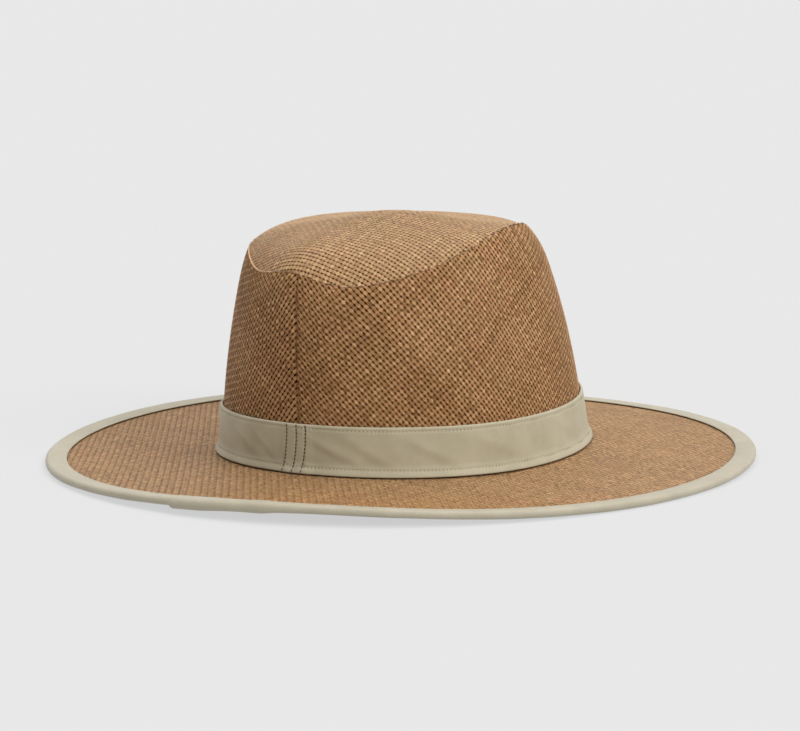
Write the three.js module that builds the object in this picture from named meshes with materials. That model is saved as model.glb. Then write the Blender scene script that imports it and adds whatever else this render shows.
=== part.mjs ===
// Wide-brimmed sun hat of woven straw, with a fabric band and a ribbon bound over the brim's edge.
// Millimetres, +Z up. The origin lies on the floor under the middle of the brim, and the wearer
// faces -Y. Turns are degrees round the hat: 0 at the centre back, 90 at the wearer's right.
import * as THREE from 'three';

// Cloth and the space left between pieces
const STRAW = 1.6;
const BAND_CLOTH = 1.2;
const RIBBON = 1.0;
const GAP = 0.3;

// Laps of the ribbon's and the band's two ends
const BINDING_LAP = { from: -5.5, to: 7.5, ease: 0.6, thickness: 1.1 };
const BAND_LAP = { from: -5.6, to: 4.4, ease: 0.6, thickness: 0.6 };

// Plans of the brim's edge and of the crown's foot and seam, and how far back each one lies.
// Fullness 2 is an ellipse. The rim makes room for its lap, so that the hat stays centred.
const RIM = { halfLength: 185.1, halfWidth: 174.4, back: -BINDING_LAP.thickness / 2, fullness: 2 };
const FOOT = { halfLength: 101.7, halfWidth: 88.2, back: -3.2, fullness: 2.05 };
const SEAM = { halfLength: 91.3, halfWidth: 66.6, back: 10, fullness: 1.91 };

// Heights above the floor, at the mean of each curve
const FOOT_HEIGHT = 8.1;
const SEAM_HEIGHT = 113.2;
const TIP_HEIGHT = 120.3;

// Rise and fall of those curves: waves in a turn, turn of the first crest, height of the crest
const RIM_WAVES = [
  { waves: 1, crest: 262, height: 0.5 },
  { waves: 2, crest: 33, height: 0.65 },
  { waves: 3, crest: 8, height: 1.15 },
];
// Single rise of the brim's edge, by the lap of its ribbon
const RIM_RISE = { turn: 15, spread: 23.5, height: 2.3 };
const FOOT_WAVES = [
  { waves: 1, crest: 180, height: 2.6 },
  { waves: 2, crest: 0, height: 1.5 },
];
const SEAM_WAVES = [
  { waves: 1, crest: 180, height: 9.6 },
  { waves: 2, crest: 98, height: 6 },
  { waves: 3, crest: 91, height: 2.1 },
];
// Single rises and dips of the seam: the stiff back seam holds it up where it ends
const SEAM_RISES = [
  { name: 'over the back seam', turn: 0, spread: 17.5, height: 6 },
  { name: 'right shoulder', turn: 125, spread: 22, height: -5 },
  { name: 'front left', turn: 220, spread: 30, height: -1.4 },
  { name: 'left side', turn: 290, spread: 25, height: -2.4 },
  { name: 'left of the back seam', turn: 330, spread: 16, height: -3.7 },
  { name: 'right of the back seam', turn: 12, spread: 16, height: -1.2 },
  { name: 'right side', turn: 60, spread: 22, height: -1.7 },
  { name: 'front', turn: 180, spread: 60, height: -3 },
];

// Crown wall: how far it swells between foot and seam, and how its shoulder rounds in at the seam
const WALL_SWELL = 2.8;
const SHOULDER = { depth: 1.2, from: 0.8 };
const FRONT_SHOULDER = { turn: 138, spread: 34, depth: 3.9 };
const WALL_LEVELS = [0, 0.12, 0.28, 0.44, 0.58, 0.7, 0.81, 0.9, 0.96, 1];

// Dents and ridges of the wall. level runs from 0 at the foot to 1 at the seam, out is negative for
// a dent, wide and high are its half widths in degrees and in level, and lean is the change of level
// per degree of turn.
const WALL_FORMS = [
  { name: 'slanting ridge', turn: 40, level: 0.62, out: 1.6, wide: 13, high: 0.14, lean: -0.016 },
  { name: 'hollow below it', turn: 24, level: 0.5, out: -1.3, wide: 13, high: 0.2, lean: -0.01 },
  { name: 'side hollow', turn: 84, level: 0.75, out: -1.9, wide: 13, high: 0.3, lean: 0 },
  { name: 'ridge before it', turn: 62, level: 0.4, out: 0.9, wide: 11, high: 0.4, lean: 0 },
  { name: 'swell under back seam', turn: -8, level: 0.92, out: 1.2, wide: 12, high: 0.07, lean: 0 },
  { name: 'left hollow', turn: 268, level: 0.6, out: -1.6, wide: 18, high: 0.25, lean: 0.004 },
  { name: 'front swell', turn: 186, level: 0.55, out: 1.5, wide: 26, high: 0.3, lean: 0 },
  { name: 'right swell', turn: 118, level: 0.6, out: 1.3, wide: 24, high: 0.4, lean: 0 },
];

// Crown tip: rings from the seam to the middle. It rises steeply from the seam over a rounded
// shoulder, then gently, and swells over its middle.
const TIP_RINGS = [1, 0.955, 0.9, 0.82, 0.7, 0.53, 0.34, 0.16];
const TIP_SLOPE = 0.21;
const TIP_CURVE = 8;
const TIP_SWELL = { x: -8.5, y: 27, spread: 35, height: 7.2 };

// Brim: steps from the crown to the edge, and its sag between them
const BRIM_STEPS = [0, 0.12, 0.3, 0.5, 0.7, 0.88, 1];
const BRIM_SAG = 0.8;

// Binding ribbon: reach over the straw, and the angles of its roll round the edge
const BINDING_REACH = 8.4;
const ROLL_ARC = [90, 45, 0, -45, -90];

// Hatband: height, its flare at the hem, and the levels of its cloth
const BAND_HEIGHT = 24;
const HEM_FLARE = 1.9;
const HEM_HEIGHT = 6;
const BAND_LEVELS = [0, 0.09, 0.25, 0.6, 1];

// Columns of the mesh round the hat, with more where a lap starts and ends
const COLUMNS = 86;

const radians = (degrees) => degrees * Math.PI / 180;

// Difference of two turns, from -180 to 180
function turnFrom(turn, centre) {
  return ((turn - centre + 540) % 360) - 180;
}

function bell(distance, spread) {
  return Math.exp(-((distance / spread) ** 2));
}

function waveSum(turn, waves) {
  return waves.reduce(
    (sum, w) => sum + w.height * Math.cos(w.waves * radians(turn - w.crest)),
    0,
  );
}

// Rises from 0 to 1 and back over a lap of ribbon or band
function lapAt(turn, lap) {
  const t = turnFrom(turn, 0);
  const up = THREE.MathUtils.smoothstep(t, lap.from - lap.ease, lap.from + lap.ease);
  const down = THREE.MathUtils.smoothstep(t, lap.to - lap.ease, lap.to + lap.ease);
  return lap.thickness * (up - down);
}

// All the turns at which a ring has a column
function columnTurns(laps) {
  const even = Array.from({ length: COLUMNS }, (_, i) => i * 360 / COLUMNS);
  const ends = laps.flatMap((lap) => [lap.from, lap.to]).flatMap((t) => [t - 0.6, t + 0.6]);
  const wrapped = ends.map((t) => (t + 360) % 360);
  const clear = even.filter((t) => wrapped.every((e) => Math.abs(turnFrom(t, e)) > 1));
  return [...clear, ...wrapped].sort((a, b) => a - b);
}

// Point of a plan curve, moved outward and set at a height
function planPoint(plan, turn, outward, height) {
  const c = Math.cos(radians(turn));
  const s = Math.sin(radians(turn));
  const n = plan.fullness;
  const fit = (Math.abs(c) ** n + Math.abs(s) ** n) ** (-1 / n);
  return new THREE.Vector3(
    -(plan.halfWidth + outward) * s * fit,
    (plan.halfLength + outward) * c * fit + plan.back,
    height,
  );
}

function blendPlans(from, to, share) {
  const mixed = {};
  for (const key of Object.keys(from)) mixed[key] = from[key] + (to[key] - from[key]) * share;
  return mixed;
}

function rimWave(turn) {
  return waveSum(turn, RIM_WAVES) + RIM_RISE.height * bell(turnFrom(turn, RIM_RISE.turn), RIM_RISE.spread);
}

const lowestRim = Math.min(...Array.from({ length: 360 }, (_, turn) => rimWave(turn)));

// Height of the middle of the straw at the brim's edge: its lowest point rests on the floor
const ROLL_RADIUS = STRAW / 2 + GAP + RIBBON;
const rimHeight = (turn) => rimWave(turn) - lowestRim + ROLL_RADIUS;
const footHeight = (turn) => FOOT_HEIGHT + waveSum(turn, FOOT_WAVES);

function seamHeight(turn) {
  const rises = SEAM_RISES.map((r) => r.height * bell(turnFrom(turn, r.turn), r.spread));
  return SEAM_HEIGHT + waveSum(turn, SEAM_WAVES) + rises.reduce((sum, rise) => sum + rise, 0);
}

function wallForms(turn, level) {
  return WALL_FORMS.reduce((sum, form) => {
    const across = turnFrom(turn, form.turn);
    const along = level - form.level - form.lean * across;
    return sum + form.out * bell(across, form.wide) * bell(along, form.high);
  }, 0);
}

function shoulderAt(turn, level) {
  const round = Math.max(0, (level - SHOULDER.from) / (1 - SHOULDER.from)) ** 3;
  const front = FRONT_SHOULDER.depth * bell(turnFrom(turn, FRONT_SHOULDER.turn), FRONT_SHOULDER.spread);
  return (SHOULDER.depth + front) * round;
}

// Outer face of the crown wall, or a face moved outward from it
function wallPoint(turn, level, outward) {
  const plan = blendPlans(FOOT, SEAM, level);
  const swell = WALL_SWELL * 4 * level * (1 - level);
  const out = swell + wallForms(turn, level) - shoulderAt(turn, level);
  const height = footHeight(turn) + level * (seamHeight(turn) - footHeight(turn));
  return planPoint(plan, turn, out + outward, height);
}

// Upper face of the brim; step runs from 0 at the crown to 1 at the edge
function brimPoint(turn, step, lift) {
  const inner = { ...FOOT, halfLength: FOOT.halfLength - STRAW, halfWidth: FOOT.halfWidth - STRAW };
  const plan = blendPlans(inner, RIM, step);
  const sag = BRIM_SAG * 4 * step * (1 - step);
  const middle = footHeight(turn) - STRAW / 2 - GAP;
  const height = middle + step * (rimHeight(turn) - middle) - sag;
  return planPoint(plan, turn, 0, height + lift);
}

// Closed ring from a section given at each turn as a loop of points
function ringSolid(turns, sectionAt) {
  const positions = [];
  const indices = [];
  const sections = turns.map(sectionAt);
  const size = sections[0].length;
  for (const section of sections) {
    for (const p of section) positions.push(p.x, p.y, p.z);
  }
  for (let i = 0; i < sections.length; i += 1) {
    const next = (i + 1) % sections.length;
    for (let j = 0; j < size; j += 1) {
      const k = (j + 1) % size;
      const a = i * size + j;
      const b = next * size + j;
      const c = next * size + k;
      const d = i * size + k;
      indices.push(a, b, c, a, c, d);
    }
  }
  return meshGeometry(positions, indices);
}

// Closed dome from a profile given at each turn, whose first and last points are shared
function domeSolid(turns, profileAt) {
  const positions = [];
  const indices = [];
  const profiles = turns.map(profileAt);
  const size = profiles[0].length - 2;
  const first = profiles[0][0];
  const last = profiles[0][size + 1];
  for (const profile of profiles) {
    for (const p of profile.slice(1, -1)) positions.push(p.x, p.y, p.z);
  }
  const top = profiles.length * size;
  positions.push(first.x, first.y, first.z, last.x, last.y, last.z);
  for (let i = 0; i < profiles.length; i += 1) {
    const next = (i + 1) % profiles.length;
    indices.push(top, next * size, i * size);
    for (let j = 0; j < size - 1; j += 1) {
      const a = i * size + j;
      const b = next * size + j;
      indices.push(a, b, b + 1, a, b + 1, a + 1);
    }
    indices.push(top + 1, i * size + size - 1, next * size + size - 1);
  }
  return meshGeometry(positions, indices);
}

// Geometry with its faces turned outward
function meshGeometry(positions, indices) {
  const corner = (i) => new THREE.Vector3().fromArray(positions, indices[i] * 3);
  let volume = 0;
  for (let i = 0; i < indices.length; i += 3) {
    volume += corner(i).dot(corner(i + 1).cross(corner(i + 2))) / 6;
  }
  const outward = [];
  for (let i = 0; i < indices.length; i += 3) {
    const [a, b, c] = indices.slice(i, i + 3);
    outward.push(...(volume > 0 ? [a, b, c] : [a, c, b]));
  }
  const geometry = new THREE.BufferGeometry();
  geometry.setAttribute('position', new THREE.Float32BufferAttribute(positions, 3));
  geometry.setIndex(outward);
  geometry.computeVertexNormals();
  return geometry;
}

function crownWall() {
  const topLevelAt = (turn) => 1 - (STRAW + GAP) / (seamHeight(turn) - footHeight(turn));
  return ringSolid(columnTurns([]), (turn) => {
    const top = topLevelAt(turn);
    const outer = WALL_LEVELS.map((level) => wallPoint(turn, level * top, 0));
    const inner = WALL_LEVELS.filter((_, i) => i % 2 === 0 || i === WALL_LEVELS.length - 1)
      .map((level) => wallPoint(turn, level * top, -STRAW));
    return [...outer, ...inner.reverse()];
  });
}

// Point of the tip: share is 1 at the seam and 0 in the middle
function tipPoint(turn, share, lift) {
  const edge = wallPoint(turn, 1, 0);
  const x = edge.x * share;
  const y = SEAM.back + (edge.y - SEAM.back) * share;
  const fall = TIP_SLOPE * share + (1 - TIP_SLOPE) * share ** TIP_CURVE;
  const away = Math.hypot(x - TIP_SWELL.x, y - TIP_SWELL.y);
  const swell = TIP_SWELL.height * bell(away, TIP_SWELL.spread) * (1 - share ** 4);
  return new THREE.Vector3(x, y, TIP_HEIGHT + (edge.z - TIP_HEIGHT) * fall + swell + lift);
}

function crownTip() {
  return domeSolid(columnTurns([]), (turn) => {
    const upper = TIP_RINGS.map((share) => tipPoint(turn, share, 0));
    const lower = TIP_RINGS.map((share) => tipPoint(turn, share, -STRAW));
    return [tipPoint(turn, 0, 0), ...upper.reverse(), ...lower, tipPoint(turn, 0, -STRAW)];
  });
}

function brim() {
  return ringSolid(columnTurns([]), (turn) => {
    const upper = BRIM_STEPS.map((step) => brimPoint(turn, step, STRAW / 2));
    const lower = BRIM_STEPS.map((step) => brimPoint(turn, step, -STRAW / 2));
    return [...upper, ...lower.reverse()];
  });
}

// Ribbon folded over the edge: an outer face round the roll, and an inner face clear of the straw
function brimBinding() {
  const reachStep = 1 - BINDING_REACH / (RIM.halfLength - FOOT.halfLength + STRAW);
  const inside = ROLL_RADIUS - RIBBON;
  return ringSolid(columnTurns([BINDING_LAP]), (turn) => {
    const outside = ROLL_RADIUS + lapAt(turn, BINDING_LAP);
    const centre = (angle, radius) => planPoint(
      RIM,
      turn,
      radius * Math.cos(radians(angle)),
      brimPoint(turn, 1, 0).z + radius * Math.sin(radians(angle)),
    );
    return [
      brimPoint(turn, reachStep, outside),
      ...ROLL_ARC.map((angle) => centre(angle, outside)),
      brimPoint(turn, reachStep, -outside),
      brimPoint(turn, reachStep, -inside),
      centre(-90, inside),
      centre(0, inside),
      centre(90, inside),
      brimPoint(turn, reachStep, inside),
    ];
  });
}

function hatband() {
  return ringSolid(columnTurns([BAND_LAP]), (turn) => {
    const wallHeight = seamHeight(turn) - footHeight(turn);
    const face = (share, outward) => {
      const height = share * BAND_HEIGHT;
      const flare = HEM_FLARE * Math.max(0, 1 - height / HEM_HEIGHT) ** 1.5;
      return wallPoint(turn, height / wallHeight, GAP + flare + outward);
    };
    const outer = BAND_LEVELS.map((share) => face(share, BAND_CLOTH + lapAt(turn, BAND_LAP)));
    const inner = BAND_LEVELS.map((share) => face(share, 0));
    return [...outer, ...inner.reverse()];
  });
}

const FINISHES = {
  straw: { color: 0xa8845c, roughness: 0.85, metalness: 0 },
  tipStraw: { color: 0xae8a62, roughness: 0.85, metalness: 0 },
  ribbon: { color: 0xbdb69f, roughness: 0.7, metalness: 0 },
  band: { color: 0xaca389, roughness: 0.75, metalness: 0 },
};

function addPiece(hat, name, geometry, finish) {
  const mesh = new THREE.Mesh(geometry, new THREE.MeshStandardMaterial(finish));
  mesh.name = name;
  hat.add(mesh);
}

const hat = new THREE.Group();
hat.name = 'sun_hat';
addPiece(hat, 'crown_tip', crownTip(), FINISHES.tipStraw);
addPiece(hat, 'crown_wall', crownWall(), FINISHES.straw);
addPiece(hat, 'brim', brim(), FINISHES.straw);
addPiece(hat, 'brim_binding', brimBinding(), FINISHES.ribbon);
addPiece(hat, 'hatband', hatband(), FINISHES.band);

export default hat;
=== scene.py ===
import math
from collections import namedtuple

import bpy
import numpy as np
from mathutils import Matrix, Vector


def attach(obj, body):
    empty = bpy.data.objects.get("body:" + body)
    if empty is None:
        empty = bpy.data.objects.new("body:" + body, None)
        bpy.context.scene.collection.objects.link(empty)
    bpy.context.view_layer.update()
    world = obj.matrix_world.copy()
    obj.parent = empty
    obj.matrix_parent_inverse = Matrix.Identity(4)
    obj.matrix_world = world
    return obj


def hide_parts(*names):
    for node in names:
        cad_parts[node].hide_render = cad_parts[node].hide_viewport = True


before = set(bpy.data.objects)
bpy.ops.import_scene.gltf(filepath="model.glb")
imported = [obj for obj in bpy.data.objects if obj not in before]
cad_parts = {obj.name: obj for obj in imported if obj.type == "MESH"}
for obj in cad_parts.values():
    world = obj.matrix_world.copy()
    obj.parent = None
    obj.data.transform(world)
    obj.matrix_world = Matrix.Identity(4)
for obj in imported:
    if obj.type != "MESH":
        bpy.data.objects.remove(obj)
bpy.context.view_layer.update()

# The hat's form, in millimetres, as the solids have it.
# Turns are degrees round the hat: 0 at the centre back (+Y), 90 at the wearer's right (-X).
MM = 0.001
# The cloths' own coordinates count in 10 mm
UV_UNIT = 0.1
STRAW = 1.6
BAND_CLOTH = 1.2
RIBBON = 1.0
GAP = 0.3

# Laps of the ribbon's and the band's ends: from, to, thickness
BINDING_LAP = (-5.5, 7.5, 1.1)
BAND_LAP = (-5.6, 4.4, 0.6)

# Plans: half length, half width, back, fullness
RIM = np.array([185.1, 174.4, -BINDING_LAP[2] / 2, 2.0])
FOOT = np.array([101.7, 88.2, -3.2, 2.05])
SEAM = np.array([91.3, 66.6, 10.0, 1.91])
BRIM_INNER = FOOT - np.array([STRAW, STRAW, 0, 0])

FOOT_HEIGHT, SEAM_HEIGHT, TIP_HEIGHT = 8.1, 113.2, 120.3
# Waves in a turn, turn of the first crest, height
RIM_WAVES = ((1, 262, 0.5), (2, 33, 0.65), (3, 8, 1.15))
RIM_RISE = (15, 23.5, 2.3)
FOOT_WAVES = ((1, 180, 2.6), (2, 0, 1.5))
SEAM_WAVES = ((1, 180, 9.6), (2, 98, 6.0), (3, 91, 2.1))
# Turn, spread, height
SEAM_RISES = (
    (0, 17.5, 6.0), (125, 22, -5.0), (220, 30, -1.4), (290, 25, -2.4),
    (330, 16, -3.7), (12, 16, -1.2), (60, 22, -1.7), (180, 60, -3.0),
)

WALL_SWELL = 2.8
# Turn, level, out, turn spread, level spread, lean
WALL_FORMS = (
    (40, 0.62, 1.6, 13, 0.14, -0.016),
    (24, 0.5, -1.3, 13, 0.2, -0.01),
    (84, 0.75, -1.9, 13, 0.3, 0.0),
    (62, 0.4, 0.9, 11, 0.4, 0.0),
    (-8, 0.92, 1.2, 12, 0.07, 0.0),
    (268, 0.6, -1.6, 18, 0.25, 0.004),
    (186, 0.55, 1.5, 26, 0.3, 0.0),
    (118, 0.6, 1.3, 24, 0.4, 0.0),
)
# The shoulder rounds in over the top share of the wall, more deeply at one turn: turn, spread, more depth
SHOULDER_SHARE, SHOULDER_DEPTH = 0.2, 1.2
DEEP_SHOULDER = (138, 34, 3.9)
TIP_SLOPE, TIP_CURVE = 0.21, 8.0
# Swell over the tip's middle: x, y, spread, height
TIP_SWELL = (-8.5, 27.0, 35.0, 7.2)
BRIM_SAG = 0.8
BINDING_REACH = 8.4
BAND_HEIGHT, HEM_FLARE, HEM_HEIGHT = 24.0, 1.9, 6.0
ROLL_RADIUS = STRAW / 2 + GAP + RIBBON
REACH_STEP = 1 - BINDING_REACH / (RIM[0] - BRIM_INNER[0])


def turn_from(turn, centre):
    return (turn - centre + 540) % 360 - 180


def bell(distance, spread):
    return np.exp(-((distance / spread) ** 2))


def dip(distance, form):
    """Depth of a dip beside its middle line, from its depth and spread."""
    depth, spread = form
    return depth * bell(distance, spread)


def wave_sum(turn, waves):
    return sum(h * np.cos(np.radians(n * (turn - crest))) for n, crest, h in waves)


def sine_sum(turn, waves):
    """Small waves round the hat, from the height, count and phase of each."""
    t = np.radians(turn)
    return sum(height * np.sin(count * t + phase) for height, count, phase in waves)


def smooth(x, low, high):
    s = np.clip((x - low) / (high - low), 0, 1)
    return s * s * (3 - 2 * s)


def plan_point(plan, turn, outward, height):
    length, width, back, fullness = plan
    c, s = np.cos(np.radians(turn)), np.sin(np.radians(turn))
    fit = (np.abs(c) ** fullness + np.abs(s) ** fullness) ** (-1 / fullness)
    x = -(width + outward) * s * fit
    y = (length + outward) * c * fit + back
    return np.stack(np.broadcast_arrays(x, y, height), -1)


def blend_plans(low, high, share):
    share = np.asarray(share, float)
    return [a + (b - a) * share for a, b in zip(low, high)]


def rim_wave(turn):
    rise_turn, spread, height = RIM_RISE
    return wave_sum(turn, RIM_WAVES) + height * bell(turn_from(turn, rise_turn), spread)


LOWEST_RIM = rim_wave(np.arange(360.0)).min()


def rim_height(turn):
    return rim_wave(turn) - LOWEST_RIM + ROLL_RADIUS


def foot_height(turn):
    return FOOT_HEIGHT + wave_sum(turn, FOOT_WAVES)


def seam_height(turn):
    rises = sum(h * bell(turn_from(turn, t), s) for t, s, h in SEAM_RISES)
    return SEAM_HEIGHT + wave_sum(turn, SEAM_WAVES) + rises


def wall_point(turn, level, outward=0.0):
    """Outer face of the crown wall; level is 0 at the foot and 1 at the seam."""
    out = WALL_SWELL * 4 * level * (1 - level) + outward
    for t, l, o, ts, ls, lean in WALL_FORMS:
        across = turn_from(turn, t)
        out = out + o * bell(across, ts) * bell(level - l - lean * across, ls)
    deep_turn, spread, deeper = DEEP_SHOULDER
    shoulder = SHOULDER_DEPTH + deeper * bell(turn_from(turn, deep_turn), spread)
    out = out - shoulder * (np.maximum(0, level - (1 - SHOULDER_SHARE)) / SHOULDER_SHARE) ** 3
    foot = foot_height(turn)
    height = foot + level * (seam_height(turn) - foot)
    return plan_point(blend_plans(FOOT, SEAM, level), turn, out, height)


def brim_point(turn, step, lift=0.0):
    """Middle of the brim's straw; step is 0 at the crown and 1 at the edge."""
    middle = foot_height(turn) - STRAW / 2 - GAP
    height = middle + step * (rim_height(turn) - middle) - BRIM_SAG * 4 * step * (1 - step)
    return plan_point(blend_plans(BRIM_INNER, RIM, step), turn, 0, height + lift)


def unit(v):
    return v / np.maximum(np.linalg.norm(v, axis=-1, keepdims=True), 1e-9)


UP = np.array([0, 0, 1.0])
LEVELLED = np.array([1, 1, 0])
# Small steps that slopes are taken over: in degrees or millimetres, and in levels
NUDGE, LEVEL_NUDGE = 0.05, 0.001


def with_normals(point_at, a, b, da, db, outward):
    """Points of a surface and their normals, turned to the side that outward(points) gives."""
    p = point_at(a, b)
    n = unit(np.cross(point_at(a + da, b) - p, point_at(a, b + db) - p))
    side = np.sign((n * outward(p)).sum(-1, keepdims=True))
    return p, n * side


# Meshes
def add_object(name, data):
    obj = bpy.data.objects.new(name, data)
    bpy.context.scene.collection.objects.link(obj)
    return obj


def make_piece(name, points, faces, material):
    mesh = bpy.data.meshes.new(name)
    mesh.from_pydata(np.asarray(points) * MM, [], faces)
    mesh.shade_smooth()
    mesh.materials.append(material)
    obj = add_object(name, mesh)
    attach(obj, "root")
    return obj


def set_uv(mesh, name, per_vertex):
    layer = mesh.uv_layers.new(name=name, do_init=False)
    corners = np.zeros(len(mesh.loops), np.int32)
    mesh.loops.foreach_get("vertex_index", corners)
    layer.uv.foreach_set("vector", per_vertex[corners].astype(np.float32).ravel())


def set_value(mesh, name, per_vertex):
    made = mesh.attributes.new(name, "FLOAT", "POINT")
    made.data.foreach_set("value", per_vertex.astype(np.float32))


# Woven straw: flat strands that pass over and under each other
# Each cloth says where a point (u, v) of its flat panel lies, and how far inside the panel it is. The
# middle of its strands lies STRAW_SINK inside the solid's face, and they stop EDGE_MARGIN short of the
# tip's seam.
STRAW_SINK, EDGE_MARGIN = 0.42, 0.2


class Wall:
    """The wall's cloth is cut in one piece with its grain upright at the centre front, so the strands
    slant more and more towards the back seam, where the two ends meet in a chevron."""

    pitch = (2.06, 2.52)
    relief = (0.2, 0.1)
    turns = np.arange(-40, 400.01, 0.25)
    # Bend of the flat strip, in degrees a degree: at the back, more at the front, and beside the seam
    # (turn, spread, more)
    back_bend, front_bend = 0.1, 0.2
    side_bend = (26, 13, 0.35)
    # Search for a flat point: first guesses, points at a time, steps, longest step and room past the ends
    guess_turns, guess_rises = np.arange(-12, 373, 4.0), (-52.0, 0.0, 52.0)
    batch, search_steps, longest_step, search_room = 20000, 7, 12, 30
    half_height = 60.0
    # Strands run past the back seam, by millimetres of cloth and by degrees
    mm_a_degree = 1.5
    past_seam, past_seam_turn = 0.5, 0.5
    # Dips of the cloth along the back seam and along the tip's seam: depth, spread
    back_groove, top_dip = (1.5, 0.6), (0.35, 1.0)

    def __init__(self):
        t = self.turns
        turn, spread, more = self.side_bend
        bend = self.back_bend + self.front_bend * (1 - np.cos(np.radians(t))) / 2
        bend = bend + more * bell(t - turn, spread)
        turned = np.concatenate([[0], np.cumsum((bend[1:] + bend[:-1]) / 2 * np.diff(t))])
        turned -= np.interp(180, t, turned)
        self.alpha = -np.radians(turned)
        self.rate = -np.radians(bend)
        middle = wall_point(t, np.full_like(t, 0.5))
        length = np.linalg.norm(np.diff(middle, axis=0), axis=1)
        self.speed = np.gradient(np.concatenate([[0], np.cumsum(length)]), t)
        mid = (self.alpha[1:] + self.alpha[:-1]) / 2
        path = np.stack([np.cos(mid), -np.sin(mid)], 1) * length[:, None]
        path = np.concatenate([[[0, 0]], np.cumsum(path, axis=0)])
        self.path = path - [np.interp(180, t, path[:, 0]), np.interp(180, t, path[:, 1])]
        top, foot = wall_point(t, np.ones_like(t)), wall_point(t, np.zeros_like(t))
        self.slant = np.linalg.norm(top - foot, axis=1)

    def flat(self, t, q):
        """Flat point at a turn, q above the wall's middle line, and the strip's angle there."""
        a = np.interp(t, self.turns, self.alpha)
        x = np.interp(t, self.turns, self.path[:, 0]) + q * np.sin(a)
        y = np.interp(t, self.turns, self.path[:, 1]) + q * np.cos(a)
        return x, y, a

    def locate(self, u, v):
        """Turn and level of flat points, and the wall's height on the slant there."""
        tt, qq = np.meshgrid(self.guess_turns, self.guess_rises, indexing="ij")
        tt, qq = tt.ravel(), qq.ravel()
        x, y, _ = self.flat(tt, qq)
        t, q = np.empty_like(u), np.empty_like(u)
        for start in range(0, len(u), self.batch):
            part = slice(start, start + self.batch)
            nearest = ((u[part, None] - x) ** 2 + (v[part, None] - y) ** 2).argmin(1)
            t[part], q[part] = tt[nearest], qq[nearest]
        for _ in range(self.search_steps):
            x, y, a = self.flat(t, q)
            rx, ry = x - u, y - v
            along = rx * np.cos(a) - ry * np.sin(a)
            up = rx * np.sin(a) + ry * np.cos(a)
            speed = np.interp(t, self.turns, self.speed) + q * np.interp(t, self.turns, self.rate)
            t = t - np.clip(along / speed, -self.longest_step, self.longest_step)
            t = np.clip(t, -self.search_room, 360 + self.search_room)
            q = q - up
        slant = np.interp(t, self.turns, self.slant)
        return t, 0.5 + q / slant, slant

    def bounds(self):
        t, q = np.meshgrid(np.arange(0, 361, 3.0), (-self.half_height, self.half_height))
        x, y, _ = self.flat(t.ravel(), q.ravel())
        return x.min(), x.max(), y.min(), y.max()

    def top(self, slant):
        return 1 - EDGE_MARGIN / slant

    def inside(self, u, v):
        t, level, slant = self.locate(u, v)
        ends = np.minimum(t, 360 - t) * self.mm_a_degree + self.past_seam
        return np.minimum(ends, np.minimum(self.top(slant) - level, level) * slant)

    def place(self, u, v):
        t, level, slant = self.locate(u, v)
        t = np.clip(t, -self.past_seam_turn, 360 + self.past_seam_turn)
        level = np.clip(level, 0.0, self.top(slant))
        p, n = with_normals(wall_point, t, level, NUDGE, LEVEL_NUDGE, lambda p: p * LEVELLED)
        ends = np.maximum(np.minimum(t, 360 - t), 0) * self.mm_a_degree
        sink = STRAW_SINK + dip(ends, self.back_groove) + dip((1 - level) * slant, self.top_dip)
        return p - n * sink[:, None], n


# Where the tip's turned edge stands up most: turn, spread
SHARP_EDGE = (-38, 26)


def seam_rib(turn):
    """How sharply the folded edge stands up at the seam of the tip: 1 at the hat's left back."""
    sharpest, spread = SHARP_EDGE
    return bell(turn_from(turn, sharpest), spread)


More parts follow.
